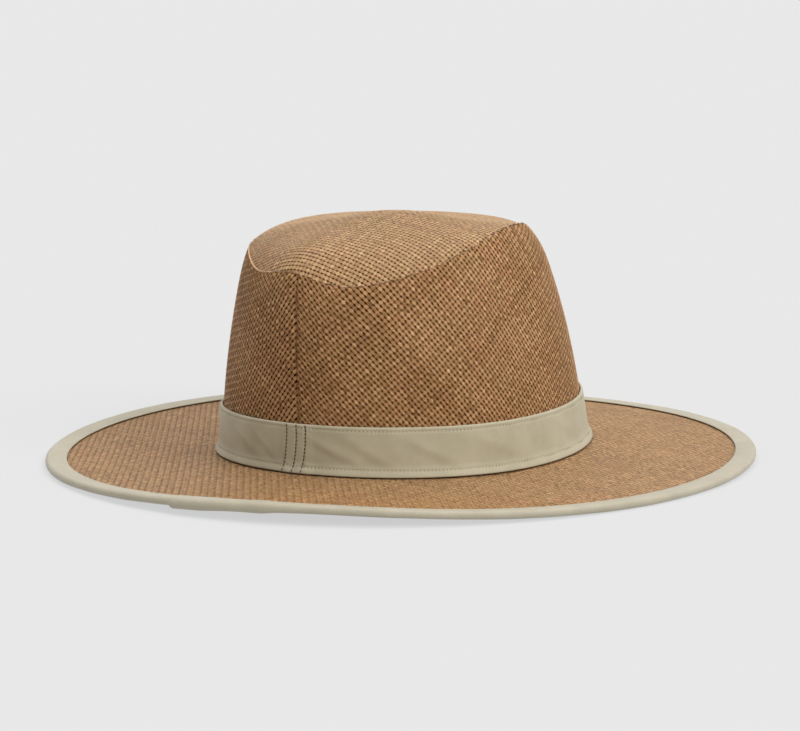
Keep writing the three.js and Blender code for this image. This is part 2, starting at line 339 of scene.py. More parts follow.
class Tip:
    """The oval top panel, with its grain along and across the hat. It is laid flat by its lengths outward
    from the middle, so its strands crowd together where it falls steeply to the seam."""

    pitch = (1.98, 2.48)
    relief = (0.18, 0.08)
    grain = math.radians(-0.9)
    turns = np.arange(0, 360, 0.5)
    half_width, half_length = 73, 101
    search_steps, furthest_share = 8, 1.1
    # Dips of the cloth: at its edge (depth, spread), and behind the sharp edge (depth, distance, spread)
    edge_dip = (0.55, 1.3)
    sharp_dip = (0.5, 3.5, 2.6)

    def __init__(self):
        t = self.turns
        edge = wall_point(t, np.ones_like(t))
        edge[:, 1] -= SEAM[2]
        angle = np.unwrap(np.arctan2(-edge[:, 0], edge[:, 1]))
        self.angle = np.concatenate([angle - 2 * np.pi, angle, angle + 2 * np.pi])
        self.turn = np.concatenate([t - 360, t, t + 360])

    def edge_at(self, turn):
        """Point of the seam at a turn, and how far it is from the middle."""
        edge = wall_point(turn, np.ones_like(turn))
        return edge, np.hypot(edge[:, 0], edge[:, 1] - SEAM[2])

    def length(self, share, reach, drop):
        """Length over the dome from the middle, and its rate by share."""
        a, n = TIP_SLOPE, TIP_CURVE
        climb = drop**2 / (2 * reach)
        run = (
            a * a * share
            + 2 * a * (1 - a) * share**n
            + (1 - a) ** 2 * n * n / (2 * n - 1) * share ** (2 * n - 1)
        )
        rate = (a + (1 - a) * n * share ** (n - 1)) ** 2
        return reach * share + climb * run, reach + climb * rate

    def unroll(self, u, v):
        """Turn and share of a point of the flat cloth, how far inside the panel it is, and its reach."""
        x = u * math.cos(self.grain) - v * math.sin(self.grain)
        y = u * math.sin(self.grain) + v * math.cos(self.grain)
        turn = np.interp(np.arctan2(-x, y), self.angle, self.turn)
        edge, reach = self.edge_at(turn)
        drop = TIP_HEIGHT - edge[:, 2]
        whole, _ = self.length(np.ones_like(reach), reach, drop)
        far = np.hypot(x, y)
        share = far / whole
        for _ in range(self.search_steps):
            at, rate = self.length(share, reach, drop)
            share = np.clip(share - (at - far) / rate, 0, self.furthest_share)
        return turn, share, whole - far, reach

    def bounds(self):
        return -self.half_width, self.half_width, -self.half_length, self.half_length

    def inside(self, u, v):
        return self.unroll(u, v)[2] - EDGE_MARGIN

    def height(self, x, y):
        """Height of the strands' middle above a point of the plan."""
        turn = np.interp(np.arctan2(-x, y - SEAM[2]), self.angle, self.turn)
        edge, reach = self.edge_at(turn)
        share = np.hypot(x, y - SEAM[2]) / reach
        dome = TIP_SLOPE * share + (1 - TIP_SLOPE) * np.maximum(share, 1e-6) ** TIP_CURVE
        swell_x, swell_y, swell_spread, swell = TIP_SWELL
        away = np.hypot(x - swell_x, y - swell_y)
        z = TIP_HEIGHT + (edge[:, 2] - TIP_HEIGHT) * dome
        z = z + swell * bell(away, swell_spread) * (1 - share**4)
        inset = (1 - share) * reach
        depth, back, spread = self.sharp_dip
        behind = depth * seam_rib(turn) * bell(inset - back, spread)
        return z - STRAW_SINK - dip(inset, self.edge_dip) - behind

    def place(self, u, v):
        turn, share, _, reach = self.unroll(u, v)
        share = np.minimum(share, 1 - EDGE_MARGIN / reach)
        edge, _ = self.edge_at(turn)
        x, y = edge[:, 0] * share, SEAM[2] + (edge[:, 1] - SEAM[2]) * share

        def at(a, b):
            return np.stack([a, b, self.height(a, b)], -1)

        return with_normals(at, x, y, NUDGE, NUDGE, lambda p: UP)


class Brim:
    """The wide flat ring. Its grain lies nearly along the hat, drawn a little askew."""

    pitch = (2.12, 2.33)
    relief = (0.1, 0.05)
    # Turn of the grain from the hat's length, and how it bends in the plan: heading, bend a millimetre
    grain = -7.8
    heading, bend, unbend_steps = 34.7, -0.00043, 5
    half_size = 190
    # Search for a step: the stretch that it lies in, and how often that is halved
    low_step, high_step, halvings = -0.4, 1.4, 26
    # Mean width, the step up to which straw lies under the ribbon, and how high it lies over the middle
    mean_width = 86
    last_step = REACH_STEP + 0.035
    lift = 0.3

    def to_plan(self, u, v):
        a = math.radians(self.grain)
        x, y = u * math.cos(a) - v * math.sin(a), u * math.sin(a) + v * math.cos(a)
        h = np.exp(1j * math.radians(self.heading))
        w = (x + 1j * y) / h
        z = w
        for _ in range(self.unbend_steps):
            z = w + 0.5j * self.bend * z * z
        z = z * h
        return z.real, z.imag

    def locate(self, x, y):
        low, high = np.full_like(x, self.low_step), np.full_like(x, self.high_step)
        for _ in range(self.halvings):
            step = (low + high) / 2
            length, width, back, full = blend_plans(BRIM_INNER, RIM, step)
            value = np.abs(x / width) ** full + np.abs((y - back) / length) ** full - 1
            low, high = np.where(value > 0, step, low), np.where(value > 0, high, step)
        turn = np.degrees(np.arctan2(-x / width, (y - back) / length)) % 360
        return turn, step

    def bounds(self):
        return -self.half_size, self.half_size, -self.half_size, self.half_size

    def inside(self, u, v):
        _, step = self.locate(*self.to_plan(u, v))
        return np.minimum(step, self.last_step - step) * self.mean_width

    def place(self, u, v):
        turn, step = self.locate(*self.to_plan(u, v))
        step = np.clip(step, 0, self.last_step)
        p, n = with_normals(brim_point, turn, step, NUDGE, LEVEL_NUDGE, lambda p: UP)
        return p + n * self.lift, n


# Strands run this far past a panel's edge, and a stretch of strand has at least this many stations
OVERRUN, LEAST_STATIONS = 0.3, 3
# Width as a share of the pitch, how much it grows at a crossing, and its slow change: share, length
STRAND_WIDTH, CROSSING_WIDTH = 1.02, 0.03
WIDTH_CHANGE, WIDTH_LENGTH = 0.03, 4.3
# Slow swing from side to side: share of the pitch, lengths of its waves, and each strand's own shift
SWING, SWING_LENGTHS, SWING_SHIFT = 0.022, (3.1, 5.3), 0.7
# Room round a cloth in the map that its looks are baked to
BAKE_MARGIN = 5


def strand_stations(ids, ks, depth):
    """Strand, station and run of each run inside the panel. depth says how far inside a station is."""
    rows = []
    run = 0
    for strand, inner in zip(ids, depth):
        inside = inner > 0
        starts = np.flatnonzero(inside & ~np.concatenate([[False], inside[:-1]]))
        ends = np.flatnonzero(inside & ~np.concatenate([inside[1:], [False]]))
        for a, b in zip(starts, ends):
            k = ks[a : b + 1].astype(float)
            if a > 0:
                k = np.concatenate([[k[0] - inner[a] / (inner[a] - inner[a - 1])], k])
            if b < len(ks) - 1:
                k = np.concatenate([k, [k[-1] + inner[b] / (inner[b] - inner[b + 1])]])
            if len(k) < LEAST_STATIONS:
                continue
            rows.append(np.stack([np.full(len(k), strand), k, np.full(len(k), run)], 1))
            run += 1
    return np.concatenate(rows)


def weave(name, cloth, family, material, seed):
    """One family of a cloth's strands as flat ribbons: family 0 runs along v, and 1 along u."""
    rng = np.random.default_rng(seed + family)
    thick, crown = cloth.relief
    pitch, cross = cloth.pitch[family], cloth.pitch[1 - family]
    u0, u1, v0, v1 = cloth.bounds()
    if family:
        u0, u1, v0, v1 = v0, v1, u0, u1
    ids = np.arange(math.floor(u0 / pitch), math.ceil(u1 / pitch) + 1)
    ks = np.arange(2 * math.floor(v0 / cross), 2 * math.ceil(v1 / cross) + 1)
    across, along = np.meshgrid(ids * pitch, ks * cross / 2, indexing="ij")

    def flat(a, b):
        return (b, a) if family else (a, b)

    depth = cloth.inside(*flat(across.ravel(), along.ravel())).reshape(across.shape) + OVERRUN
    strand, k, run = strand_stations(ids, ks, depth).T
    # Over and under, by the crossing that each station is nearest to, and slack between them
    crossing = np.round(k / 2)
    over = 1 - 2 * ((strand + crossing + family) % 2)
    near = 1 - 2 * np.abs(k / 2 - crossing)
    # Each strand has its own tone, lies a little off its place and swings slowly from side to side
    which, count = (strand - ids[0]).astype(int), len(ids) + 1
    tone = rng.normal(0, 1, count)[which]
    phases = rng.uniform(0, 2 * np.pi, (4, count))[:, which]
    along = k * cross / 2
    swing = np.sin(along / SWING_LENGTHS[0] + phases[0]) + np.sin(along / SWING_LENGTHS[1] + phases[1])
    centre = strand * pitch + SWING * pitch * (swing + SWING_SHIFT * np.sin(phases[2]))
    half = pitch / 2 * (STRAND_WIDTH + CROSSING_WIDTH * near)
    half = half * (1 + WIDTH_CHANGE * np.sin(along / WIDTH_LENGTH + phases[3]))
    sides = np.array([-1.0, 0.0, 1.0])
    wide = len(sides)
    a = (centre[:, None] + half[:, None] * sides).ravel()
    b = np.repeat(along, wide)
    base, normal = cloth.place(*flat(a, b))
    lift = (over * near)[:, None] * (thick + crown * (1 - 2 * np.abs(sides)))
    points = base + normal * lift.ravel()[:, None]
    first = wide * np.flatnonzero(run[1:] == run[:-1])
    corners = np.array([0, 1, wide + 1, wide])
    quads = np.concatenate([first[:, None] + side + corners for side in range(wide - 1)])
    obj = make_piece(name, points, quads.tolist(), material)
    set_uv(obj.data, "strand", np.stack([np.tile((sides + 1) / 2, len(k)), b * UV_UNIT], 1))
    low, span = min(u0, v0) - BAKE_MARGIN, max(u1 - u0, v1 - v0) + 2 * BAKE_MARGIN
    set_uv(obj.data, "OFBake", np.stack([(a - low) / span, (b - low) / span], 1))
    set_value(obj.data, "tone", np.repeat(tone, wide))
    set_value(obj.data, "crest", np.repeat(near, wide))
    return obj


# Materials
# Sockets of a node that mixes colours: factor and the two colours, and the result
MIX_INPUTS, MIX_RESULT = (0, 6, 7), 2


def rgb(r, g, b):
    """A linear colour from its sRGB values, 0 to 255."""

    def linear(c):
        c = c / 255
        return c / 12.92 if c <= 0.04045 else ((c + 0.055) / 1.055) ** 2.4

    return (linear(r), linear(g), linear(b), 1.0)


class Look:
    """A new material, with short calls for its nodes. A value is a number, a colour or a node's output."""

    def __init__(self, name):
        self.material = bpy.data.materials.new(name)
        self.material.use_nodes = True
        self.nodes = self.material.node_tree.nodes
        self.links = self.material.node_tree.links
        self.shader = self.nodes["Principled BSDF"]

    def feed(self, socket, value):
        if isinstance(value, bpy.types.NodeSocket):
            self.links.new(value, socket)
        else:
            socket.default_value = value

    def add(self, kind, **values):
        """A node of a kind. Each value goes to its property of that name, or else to its input."""
        node = self.nodes.new("ShaderNode" + kind)
        for key, value in values.items():
            if hasattr(node, key):
                setattr(node, key, value)
            else:
                self.feed(node.inputs[key.replace("_", " ")], value)
        return node

    def math(self, operation, *values, clamp=False):
        node = self.add("Math", operation=operation, use_clamp=clamp)
        for socket, value in zip(node.inputs, values):
            self.feed(socket, value)
        return node.outputs[0]

    def times(self, a, b):
        return self.math("MULTIPLY", a, b)

    def times_plus(self, a, b, c):
        """a times b, plus c."""
        return self.math("MULTIPLY_ADD", a, b, c)

    def mix(self, blend, *values):
        node = self.add("Mix", data_type="RGBA", blend_type=blend)
        for at, value in zip(MIX_INPUTS, values):
            self.feed(node.inputs[at], value)
        return node.outputs[MIX_RESULT]

    def tint(self, factor, colour, by):
        return self.mix("MULTIPLY", factor, colour, by)

    def ramp(self, value, stops):
        node = self.add("ValToRGB")
        while len(node.color_ramp.elements) < len(stops):
            node.color_ramp.elements.new(0.5)
        for element, (place, colour) in zip(node.color_ramp.elements, stops):
            element.position = place
            element.color = colour
        self.feed(node.inputs[0], value)
        return node.outputs[0]

    def ease(self, value, low, high):
        """0 below low and 1 above high, with a soft step between."""
        node = self.add("MapRange", interpolation_type="SMOOTHSTEP", From_Min=low, From_Max=high, Value=value)
        return node.outputs[0]

    def place(self):
        return self.add("TexCoord").outputs["Object"]

    def attribute(self, name):
        return self.add("Attribute", attribute_name=name).outputs["Fac"]

    def uv(self, name):
        return self.add("UVMap", uv_map=name).outputs[0]

    def split(self, vector):
        return self.add("SeparateXYZ", Vector=vector).outputs[:3]

    def noise(self, vector, **values):
        return self.add("TexNoise", Vector=vector, **values).outputs

    def bump(self, height, strength, depth):
        """A normal from a height, where 1 stands for a depth in millimetres."""
        return self.add("Bump", Strength=strength, Distance=depth * MM, Height=height).outputs[0]

    def shade(self, **values):
        """Sets or links inputs of the main shader, and gives the finished material."""
        for key, value in values.items():
            self.feed(self.shader.inputs[key.replace("_", " ")], value)
        return self.material


# A panel's straw: its dark, middle and light tones, what they are multiplied by for the painted shade in the
# gaps between strands, its gloss, how much its tone drifts along a strand, how mottled it is, how much its
# floats differ, how much paler it is at the hat's right as a painted highlight, and how much it pales where
# it turns away
Straw = namedtuple("Straw", "tones gap shine drift mottle floats lift sheen")
# One family of strands: where its slots of painted shade lie, across a strand and along it from a crossing,
# how much painted shade it gets along its sides and where it turns under, and how much lighter than the other
# one it is. That is painted light and shade standing for the floats' relief, and shows as fine ribs, most of
# all at the hat's left.
Strands = namedtuple("Strands", "slot_across slot_along side turned rib")

# Noise along each strand: times over its width, times in 10 mm, step from strand to strand, detail
FIBRES = (4.5, 1.8, 37.0, 3.0)
FLOATS = (0.4, 4.2, 53.0, 1.0)
TONE_DRIFT = (0.0, 1.5, 91.0, 2.0)
HUE_DRIFT = (0.0, 1.6, 71.0, 2.0)
# Noise over the whole hat, in times a metre
PATCH_SCALE, SPECKLE_SCALE = 70.0, 520.0
# Fades over the hat: direction, and where each starts and ends, in metres
# The rib fade sets where the ribs' painted light and shade is strongest, at the hat's left
RIB_FADE = ((0.869, 0.495, 0.0), -0.06, 0.13)
# The second fade is a painted reflection: towards the centre back the straw is tinted warmer, where it
# reflects the brown crown and band rather than the pale surroundings
WARM_REFLECTION_FADE = ((-0.495, 0.869, 0.0), 0.1, 0.17)
# Ribs keep this share at the hat's right
LEAST_RIB = 0.15
STRAND_CONTRAST = 0.07
# Stops of the colours that the tones are multiplied by
HUES = ((0.35, rgb(245, 226, 208)), (0.65, rgb(239, 232, 205)))
STREAKS = ((0.3, rgb(176, 166, 150)), (0.5, rgb(232, 228, 220)), (0.7, rgb(255, 255, 255)))
SPECKLES = ((0.35, rgb(150, 138, 122)), (0.6, rgb(255, 255, 255)))
# Painted colours: a warm painted reflection, and the painted shade along strands' edges and where they turn
# under
WARM_REFLECTION_COLOUR, EDGE_SHADE_COLOUR = rgb(252, 243, 224), rgb(146, 104, 64)
STREAK_SHARE = 0.9
# Where the painted shade along a strand's sides starts and ends across it, where the painted shade of its
# turn under starts and ends from a crossing, and which floats get a slot of painted shade
SIDES, TURN_UNDER, OPEN_SLOTS = (0.68, 0.96), (0.6, 0.95), (0.25, 0.55)
# Roughness: its change with the fibres, and its least
FIBRE_ROUGHNESS = (0.25, 0.42)
# Shares of the bump, and its depth
PILLOW, FIBRE_HEIGHT, SLOT_DEPTH, STRAW_BUMP = 0.5, 0.5, 0.6, 0.32


def straw_material(name, straw, strands):
    """Flat paper straw, from the look of its panel and of its family of strands."""
    look = Look(name)
    across, along, _ = look.split(look.uv("strand"))
    tone, crest = look.attribute("tone"), look.attribute("crest")
    place = look.place()

    def strand_noise(times_across, times_along, step, detail, output="Fac"):
        at = look.add(
            "CombineXYZ", X=look.times(across, times_across), Y=look.times(along, times_along),
            Z=look.times(tone, step),
        )
        return look.noise(at.outputs[0], Scale=1.0, Detail=detail, Roughness=0.6)[output]

    def fade(direction, start, end):
        reach = look.add("VectorMath", operation="DOT_PRODUCT")
        look.feed(reach.inputs[0], place)
        look.feed(reach.inputs[1], direction)
        return look.ease(reach.outputs["Value"], start, end)

    fibre, cell, drift = strand_noise(*FIBRES), strand_noise(*FLOATS), strand_noise(*TONE_DRIFT)
    hue_drift = look.split(strand_noise(*HUE_DRIFT, "Color"))[1]
    patch = look.noise(place, Scale=PATCH_SCALE, Detail=2.0)["Fac"]
    speckle = look.noise(place, Scale=SPECKLE_SCALE, Detail=2.0, Roughness=0.7)["Fac"]
    # Each strand has its own tone, which drifts along it and differs from float to float
    # lift is a painted highlight: it makes the straw paler at the hat's right, the side that the key lamp
    # lights
    shade = look.times_plus(tone, STRAND_CONTRAST, 0.5 + straw.lift - (straw.drift + straw.floats) / 2)
    shade = look.times_plus(drift, straw.drift, shade)
    shade = look.times_plus(cell, straw.floats, shade)
    # Painted light and shade: one family of floats is painted lighter and the other darker, most at the hat's
    # left, while lift's painted highlight stays at the hat's right
    leftward = look.times_plus(fade(*RIB_FADE), 1 - LEAST_RIB, LEAST_RIB)
    shade = look.times_plus(leftward, strands.rib - straw.lift, shade)
    dark, middle, light = (rgb(*colour) for colour in straw.tones)
    colour = look.ramp(shade, ((0.2, dark), (0.5, middle), (0.8, light)))
    hue = look.ramp(look.times_plus(hue_drift, 0.5, look.times(patch, 0.5)), HUES)
    colour = look.tint(1.0, colour, hue)
    # Painted reflection: a warm tint towards the centre back
    colour = look.tint(fade(*WARM_REFLECTION_FADE), colour, WARM_REFLECTION_COLOUR)
    colour = look.tint(STREAK_SHARE, colour, look.ramp(fibre, STREAKS))
    colour = look.tint(straw.mottle, colour, look.ramp(speckle, SPECKLES))
    # Painted shade: strands are darker along their edges and where they turn under beneath their neighbours,
    # and darkest in the slots, which stand for the shaded gaps between strands
    off = look.math("ABSOLUTE", look.times_plus(across, 2.0, -1.0))
    under = look.math("SUBTRACT", 1.0, crest)
    colour = look.tint(look.times(look.ease(off, *SIDES), strands.side), colour, EDGE_SHADE_COLOUR)
    colour = look.tint(look.times(look.ease(under, *TURN_UNDER), strands.turned), colour, EDGE_SHADE_COLOUR)
    # Painted shade: the slots darken the gaps between strands, where the hat's dark inside shows through
    slot = look.times(look.ease(off, *strands.slot_across), look.ease(under, *strands.slot_along))
    slot = look.times(slot, look.ease(cell, *OPEN_SLOTS))
    colour = look.tint(slot, colour, rgb(*straw.gap))
    height = look.times_plus(crest, PILLOW, look.times(look.times(off, off), -PILLOW))
    height = look.times_plus(fibre, FIBRE_HEIGHT, height)
    height = look.times_plus(slot, -SLOT_DEPTH, height)
    return look.shade(
        Base_Color=colour,
        Roughness=look.times_plus(fibre, *FIBRE_ROUGHNESS),
        Specular_IOR_Level=look.times_plus(slot, -straw.shine, straw.shine),
        Sheen_Weight=straw.sheen,
        Sheen_Roughness=0.3,
        Normal=look.bump(height, 1.0, STRAW_BUMP),
    )


def fold_material(name, light, dark):
    """The turned edge at the tip's seam: painted light where it stands up, and painted shade of the seam's
    crease, dark and uneven, elsewhere.
    """
    look = Look(name)
    noise = look.noise(look.place(), Scale=300.0, Detail=1.0, Roughness=0.5)["Fac"]
    share = look.math("ADD", look.attribute("rib"), look.ease(noise, 0.53, 0.63), clamp=True)
    colour = look.mix("MIX", share, dark, light)
    return look.shade(Base_Color=colour, Roughness=0.7, Normal=look.bump(noise, 0.6, 0.2))


def cloth_material(name, light, dark, rough, threads):
    """A smooth woven cloth or ribbon: fine threads both ways, soft mottle and a faint sheen. threads is
    how fast its threads' waves run, in radians for 10 mm."""
    look = Look(name)
    place = look.place()
    across, along, _ = look.split(look.uv("cloth"))
    weave_height = look.times(
        look.math("SINE", look.times(across, threads)), look.math("SINE", look.times(along, threads))
    )
    mottle = look.noise(place, Scale=60.0, Detail=4.0, Roughness=0.6)["Fac"]
    fine = look.noise(place, Scale=2400.0, Detail=2.0)["Fac"]
    patches = look.ramp(mottle, ((0.3, (0, 0, 0, 1)), (0.7, (1, 1, 1, 1))))
    speck = look.times(look.times_plus(weave_height, 0.05, 0.95), look.times_plus(fine, 0.12, 0.94))
    grey = look.add("CombineColor", Red=speck, Green=speck, Blue=speck)
    return look.shade(
        Base_Color=look.tint(1.0, look.mix("MIX", patches, dark, light), grey.outputs[0]),
        Roughness=look.times_plus(mottle, 0.12, rough - 0.06),
        Specular_IOR_Level=0.3,
        Sheen_Weight=0.15,
        Sheen_Roughness=0.5,
        Normal=look.bump(weave_height, 0.25, 0.1),
    )


def thread_material(name, light, dark):
    """Twisted thread, darker in its twist, with painted shade of the needle holes where its ends go into the
    cloth.
    """
    look = Look(name)
    cloth = look.uv("cloth")
    along = look.split(cloth)[1]
    wave = look.add("TexWave", bands_direction="DIAGONAL", Vector=cloth, Scale=1.0, Distortion=0.6)
    twist = wave.outputs["Fac"]
    # Painted shade: the thread darkens towards its ends, where they go into the needle holes
    end = look.ease(look.math("ABSOLUTE", along), 0.35, 0.75)
    colour = look.mix("MIX", look.math("MAXIMUM", end, look.times(twist, 0.35)), light, dark)
    return look.shade(Base_Color=colour, Roughness=0.6, Normal=look.bump(twist, 0.5, 0.1))


# Hatband, binding and stitches
def lap_at(turn, lap, ease):
    """What a lap adds to the thickness, with its two ends eased."""
    start, end, thickness = lap
    t = turn_from(turn, 0)
    return thickness * (smooth(t, start - ease, start + ease) - smooth(t, end - ease, end + ease))


def ring(name, turns, section_at, along_at, material):
    """A closed ring from a loop of points at each turn. along_at gives the cloth's own coordinates."""
    grid = section_at(turns[:, None])
    n, size = grid.shape[:2]
    i, j = np.meshgrid(np.arange(n), np.arange(size), indexing="ij")
    here, after = i * size, (i + 1) % n * size
    quads = np.stack([here + j, after + j, after + (j + 1) % size, here + (j + 1) % size], -1).reshape(-1, 4)
    obj = make_piece(name, grid.reshape(-1, 3), quads.tolist(), material)
    set_uv(obj.data, "cloth", along_at(turns[:, None]).reshape(-1, 2))
    return obj


# Heights of the two rows of top stitches, turns of the three joins, and length taken by a stitch
TOP_STITCH, HEM_STITCH = BAND_HEIGHT - 2.1, 3.0
JOIN_TURNS = (-3.3, 0.3, 3.5)
STITCH = 1.9
# How far the joins swing to one side at the hem, the height where that starts, and its curve
JOIN_SWING, JOIN_SWING_HEIGHT, JOIN_SWING_CURVE = 2.4, 21, 1.6
# Millimetres a degree: round the band, at its joins and for its creases
BAND_SCALE, JOIN_SCALE, CREASE_SCALE = 1.63, 1.54, 1.6
# Grooves under the stitches: depth, spread
TOP_GROOVE, HEM_GROOVE, JOIN_GROOVE = (0.22, 0.4), (0.3, 0.5), (0.3, 0.5)
# Puckers along the top stitches: height, and spread at each row
PUCKER, TOP_PUCKER, HEM_PUCKER = 0.07, 0.9, 1.0
# Puckers beside each join: height, distance from it, spread, length
JOIN_PUCKER = (0.12, 1.6, 1.1, 3.4)
# Slanting creases that fade in and out round the band: turn, slope, spread, length, height
CREASES = (
    (-24, 0.5, 3.0, 10, 0.35), (-14, 0.7, 2.4, 8, 0.3), (10, 0.45, 2.6, 12, 0.35),
    (22, 0.6, 3.4, 12, 0.3), (41, 0.5, 3.0, 14, 0.3), (63, 0.4, 3.6, 14, 0.25),
    (-45, 0.5, 3.6, 12, 0.3), (95, 0.5, 4.0, 12, 0.3), (140, -0.5, 4.0, 14, 0.3),
    (180, 0.5, 4.0, 14, 0.25), (225, -0.6, 4.0, 12, 0.3), (275, 0.5, 4.0, 14, 0.3),
)
# Height of the creases' middles. Each has a valley below it, by shares of its height and spread
CREASE_MIDDLE, VALLEY_DEPTH, VALLEY_SHIFT = 13, 0.8, 1.3


def join_turn(turn, h):
    """A join line's turn at height h: the lines swing a little to one side towards the hem."""
    return turn - JOIN_SWING * np.maximum(0, 1 - h / JOIN_SWING_HEIGHT) ** JOIN_SWING_CURVE


def band_relief(turn, h):
    """Small shapes of the band's cloth: stitched grooves, puckers beside them and slanting creases."""
    t = turn_from(turn, 0)
    mm = t * BAND_SCALE
    out = -dip(h - TOP_STITCH, TOP_GROOVE) - dip(h - HEM_STITCH, HEM_GROOVE)
    pucker = np.cos(2 * np.pi * mm / STITCH)
    out = out - PUCKER * pucker * (bell(h - TOP_STITCH, TOP_PUCKER) + bell(h - HEM_STITCH, HEM_PUCKER))
    height, distance, spread, length = JOIN_PUCKER
    for join in JOIN_TURNS:
        across = (t - join_turn(join, h)) * JOIN_SCALE
        out = out - dip(across, JOIN_GROOVE)
        out = out + height * bell(across - distance, spread) * np.cos(2 * np.pi * h / length + join)
    for middle, slope, spread, length, height in CREASES:
        along = turn_from(turn, middle) * CREASE_SCALE
        ridge = h - CREASE_MIDDLE + along * slope
        out = out + height * bell(ridge, spread) * bell(along, length)
        valley = bell(ridge + spread * VALLEY_SHIFT, spread)
        out = out - height * VALLEY_DEPTH * valley * bell(along, length)
    return out


# Curve of the hem's flare, and how far and up to what height the hem hangs lower
HEM_CURVE, HEM_DROP, HEM_DROP_HEIGHT = 1.5, 0.3, 3


def band_point(turn, h, outward):
    """Point of the band at a height, and outward from its inner face."""
    foot = foot_height(turn)
    wall = seam_height(turn) - foot
    flare = HEM_FLARE * np.maximum(0, 1 - h / HEM_HEIGHT) ** HEM_CURVE
    drop = HEM_DROP * np.maximum(0, 1 - h / HEM_DROP_HEIGHT) ** 2
    return wall_point(turn, (h - drop) / wall, GAP + flare + outward)


# Heights of the rows of the band's outer face, closer by its edges and stitches, and of its inner face
BAND_ROWS = np.array(
    [0.0, 0.25, 0.6, 1.1, 1.8, 2.5, 3.1, 3.5, 3.8, 4.1, 4.5, 5.2, 6.2, 7.5, 9, 10.5, 12, 13.5, 15, 16.5,
     17.7, 18.8, 19.8, 20.7, 21.3, 21.65, 21.9, 22.15, 22.5, 23.0, 23.45, 23.75, 23.92, BAND_HEIGHT]
)

BAND_INNER_ROWS = np.array([BAND_HEIGHT - 0.08, 20.0, 12.0, 5.0, 0.15])
# Radius of the rounded top and hem, share of the thickness left at their ends, and ease of the lap
TOP_ROUND, HEM_ROUND, EDGE_SHARE, LAP_EASE = 0.7, 0.6, 0.3, 2.0
# The relief fades out over this height at both edges
RELIEF_FADE = 1.0
# The inner face lies this far off in the cloth's coordinates
INNER_SHIFT = 30


def rounded(past, radius):
    """1 on the flat, and down to 0 over a rounded edge, by how far past its start."""
    return np.sqrt(np.clip(1 - (np.clip(past, 0, None) / radius) ** 2, 0, 1))


def band_section(turn):
    h = BAND_ROWS[None, :]
    top = rounded(h - (BAND_HEIGHT - TOP_ROUND), TOP_ROUND)
    hem = rounded(HEM_ROUND - h, HEM_ROUND)
    body = BAND_CLOTH * (EDGE_SHARE + (1 - EDGE_SHARE) * top * hem)
    fade = smooth(h, 0, RELIEF_FADE) * (1 - smooth(h, BAND_HEIGHT - RELIEF_FADE, BAND_HEIGHT))
    relief = band_relief(turn, h) * fade
    outer = band_point(turn, h, body + lap_at(turn, BAND_LAP, LAP_EASE) + relief)
    inner = band_point(turn, BAND_INNER_ROWS[None, :], 0.0)
    return np.concatenate([outer, inner], 1)


def band_uv(turn):
    h = np.concatenate([BAND_ROWS, BAND_INNER_ROWS + INNER_SHIFT])[None, :]
    return np.stack(np.broadcast_arrays(turn * BAND_SCALE * UV_UNIT, h * UV_UNIT), -1)


# The ribbon's section: angles of its roll, and rows of a leg from its inner edge (1) to the rim (0)
BINDING_ARC = np.radians(np.array([75, 60, 40, 20, 0, -20, -40, -60, -75]))
BINDING_LEG = np.array([1.0, 0.94, 0.8, 0.55, 0.3, 0.1, 0.0])
BINDING_INNER_ROWS = np.array([1.0, 0.5, 0.0])
# Steps of the ribbon's lap: share of its thickness, and the turns that it comes in over
LAP_STEPS = (
    (0.9, BINDING_LAP[0] - 0.6, BINDING_LAP[0] + 0.5),
    (-0.4, -1.0, 5.0), (-0.3, 10.0, 13.0), (-0.2, 12.0, 20.0),
)
# Slow waves of the ribbon round the rim: height, count, phase
RIBBON_WAVES = ((0.096, 7, math.radians(40)), (0.08, 17, 0), (0.04, 41, 0))
# A ridge beside the lap (turn, spread, height), and how far the ribbon is drawn in
RIBBON_RIDGE, DRAWN_IN = (9.6, 1.7, 0.3), 0.2
# Share of the lap at the side of the roll, how it changes to top and bottom, and share of the relief
LAP_SIDE, LAP_TILT, RELIEF_SHARE = 0.9, 0.5, 0.6
# Leg rows over which a face nears its edge's height from the roll's
LEG_EASE = (0.55, 1.0)
# Height off the straw's middle of each outer face at its inner edge, with the lap's share in it
UPPER_EDGE, UPPER_LAP, LOWER_EDGE, LOWER_LAP = 1.35, 0.3, 0.75, 0.9
# Height off the straw's middle of the inner faces: by the ribbon's inner edges, and by the rim
INNER_LOW, INNER_HIGH, INNER_RIM = 0.45, 0.85, 0.9
# Millimetres a degree round the rim, and the section's length in the cloth's coordinates
RIM_SCALE, SECTION_LENGTH = 3.14, 3.8


def binding_lap(turn):
    """The lapped ribbon is thickest where it starts and eases away to the other side."""
    t = turn_from(turn, 0)
    return BINDING_LAP[2] * sum(share * smooth(t, start, end) for share, start, end in LAP_STEPS)


def binding_relief(turn):
    ridge_turn, spread, height = RIBBON_RIDGE
    ridge = height * bell(turn_from(turn, 0) - ridge_turn, spread)
    return sine_sum(turn, RIBBON_WAVES) - DRAWN_IN + ridge


